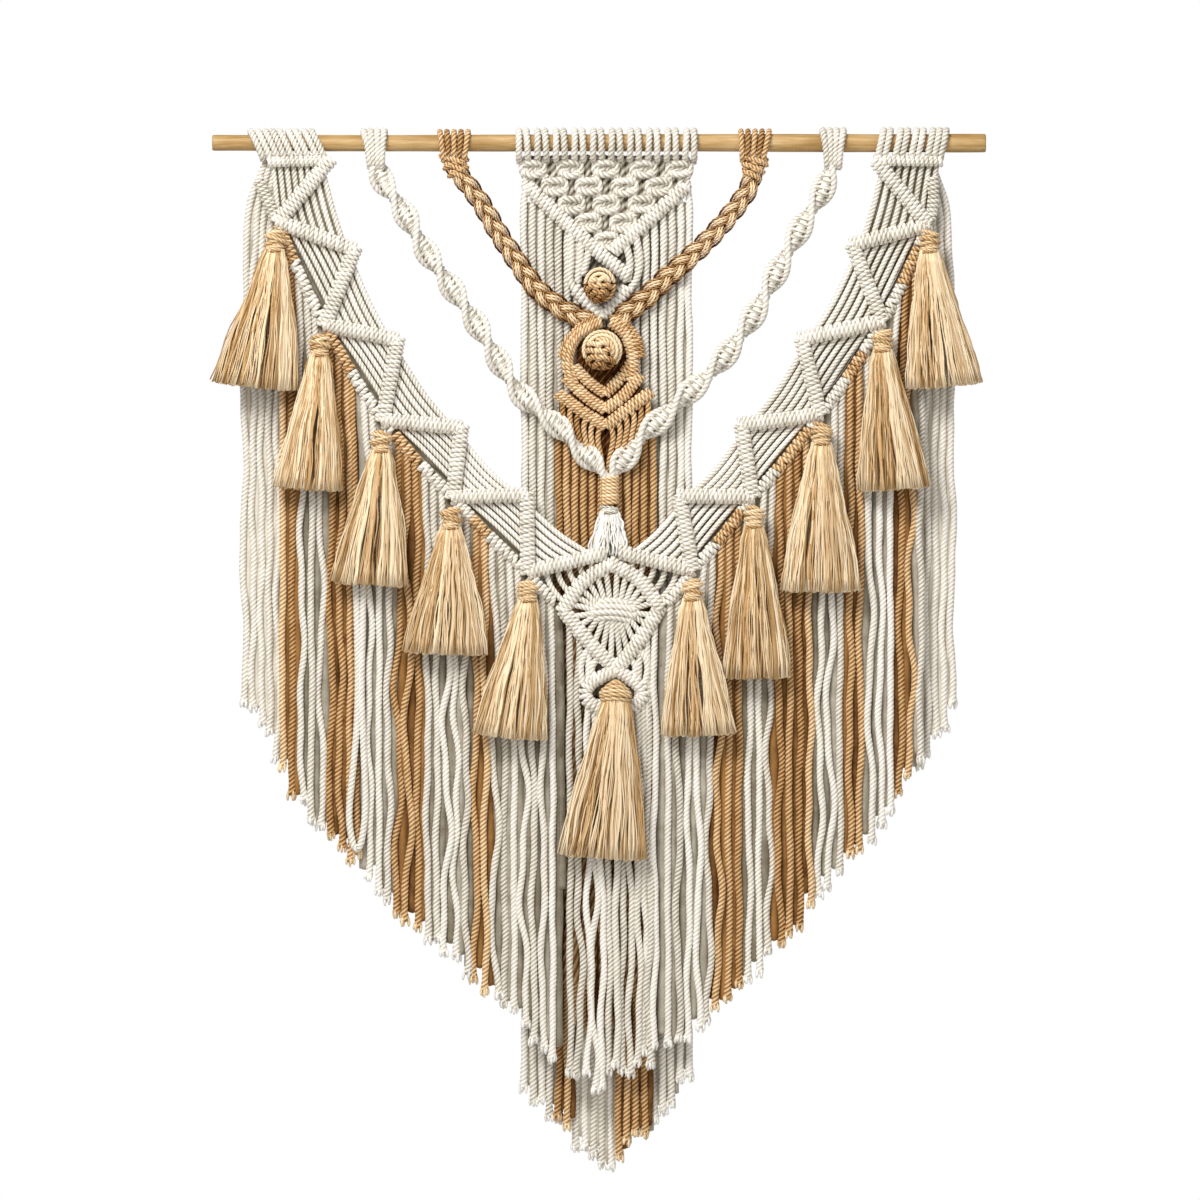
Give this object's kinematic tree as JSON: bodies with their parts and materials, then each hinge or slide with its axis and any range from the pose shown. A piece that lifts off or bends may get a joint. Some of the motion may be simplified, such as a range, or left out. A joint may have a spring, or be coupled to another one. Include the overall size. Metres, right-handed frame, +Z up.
{
  "type": "macrame wall hanging on a wooden rod",
  "caption": "Knotted cotton cord hanging in a V shape, with tassels, fringe, braids and knotted bars, tied on a plain wooden rod.",
  "frame": {"origin": "on the rod's axis, over the middle of the hanging, where a hook or a cord holds the rod", "axes": "+X along the rod, +Y towards the wall behind, -Y to the viewer, +Z up"},
  "size_m": [0.516, 0.0425, 0.6867],
  "materials": {
    "cream_cotton": "matt three-ply cotton cord, natural cream",
    "brown_cotton": "matt three-ply cotton cord, light brown",
    "gold_yarn": "soft sheen fine tassel yarn, golden beige",
    "wood": "smooth light wood, unvarnished"
  },
  "bodies": {
    "root": {"band_left": "cream_cotton", "band_right": "cream_cotton", "berry_lower": "brown_cotton", "berry_upper": "brown_cotton", "braid_left": "brown_cotton", "braid_right": "brown_cotton", "diamond_brown": "brown_cotton", "diamond_centre": "cream_cotton", "fringe_left_1_brown": "brown_cotton", "fringe_left_1_cream": "cream_cotton", "fringe_left_2_brown": "brown_cotton", "fringe_left_2_cream": "cream_cotton", "fringe_left_3_brown": "brown_cotton", "fringe_left_3_cream": "cream_cotton", "fringe_left_3_outer": "cream_cotton", "fringe_left_4_brown": "brown_cotton", "fringe_left_4_cream": "cream_cotton", "fringe_left_4_outer": "cream_cotton", "fringe_left_5_cream": "cream_cotton", "fringe_left_outer": "cream_cotton", "fringe_right_1_brown": "brown_cotton", "fringe_right_1_cream": "cream_cotton", "fringe_right_1_outer": "cream_cotton", "fringe_right_2_brown": "brown_cotton", "fringe_right_2_cream": "cream_cotton", "fringe_right_2_outer": "cream_cotton", "fringe_right_3_brown": "brown_cotton", "fringe_right_3_cream": "cream_cotton", "fringe_right_3_outer": "cream_cotton", "fringe_right_4_brown": "brown_cotton", "fringe_right_4_cream": "cream_cotton", "fringe_right_4_outer": "cream_cotton", "fringe_right_5_cream": "cream_cotton", "fringe_right_outer": "cream_cotton", "panel_centre": "cream_cotton", "rod": "wood", "spiral_left": "cream_cotton", "spiral_right": "cream_cotton", "tassel_L1": "gold_yarn", "tassel_L2": "gold_yarn", "tassel_L3": "gold_yarn", "tassel_L4": "gold_yarn", "tassel_L5": "gold_yarn", "tassel_R1": "gold_yarn", "tassel_R2": "gold_yarn", "tassel_R3": "gold_yarn", "tassel_R4": "gold_yarn", "tassel_R5": "gold_yarn", "tassel_centre": "gold_yarn", "tassel_small": "cream_cotton", "wrapped_knot": "brown_cotton"}
  },
  "joints": []
}
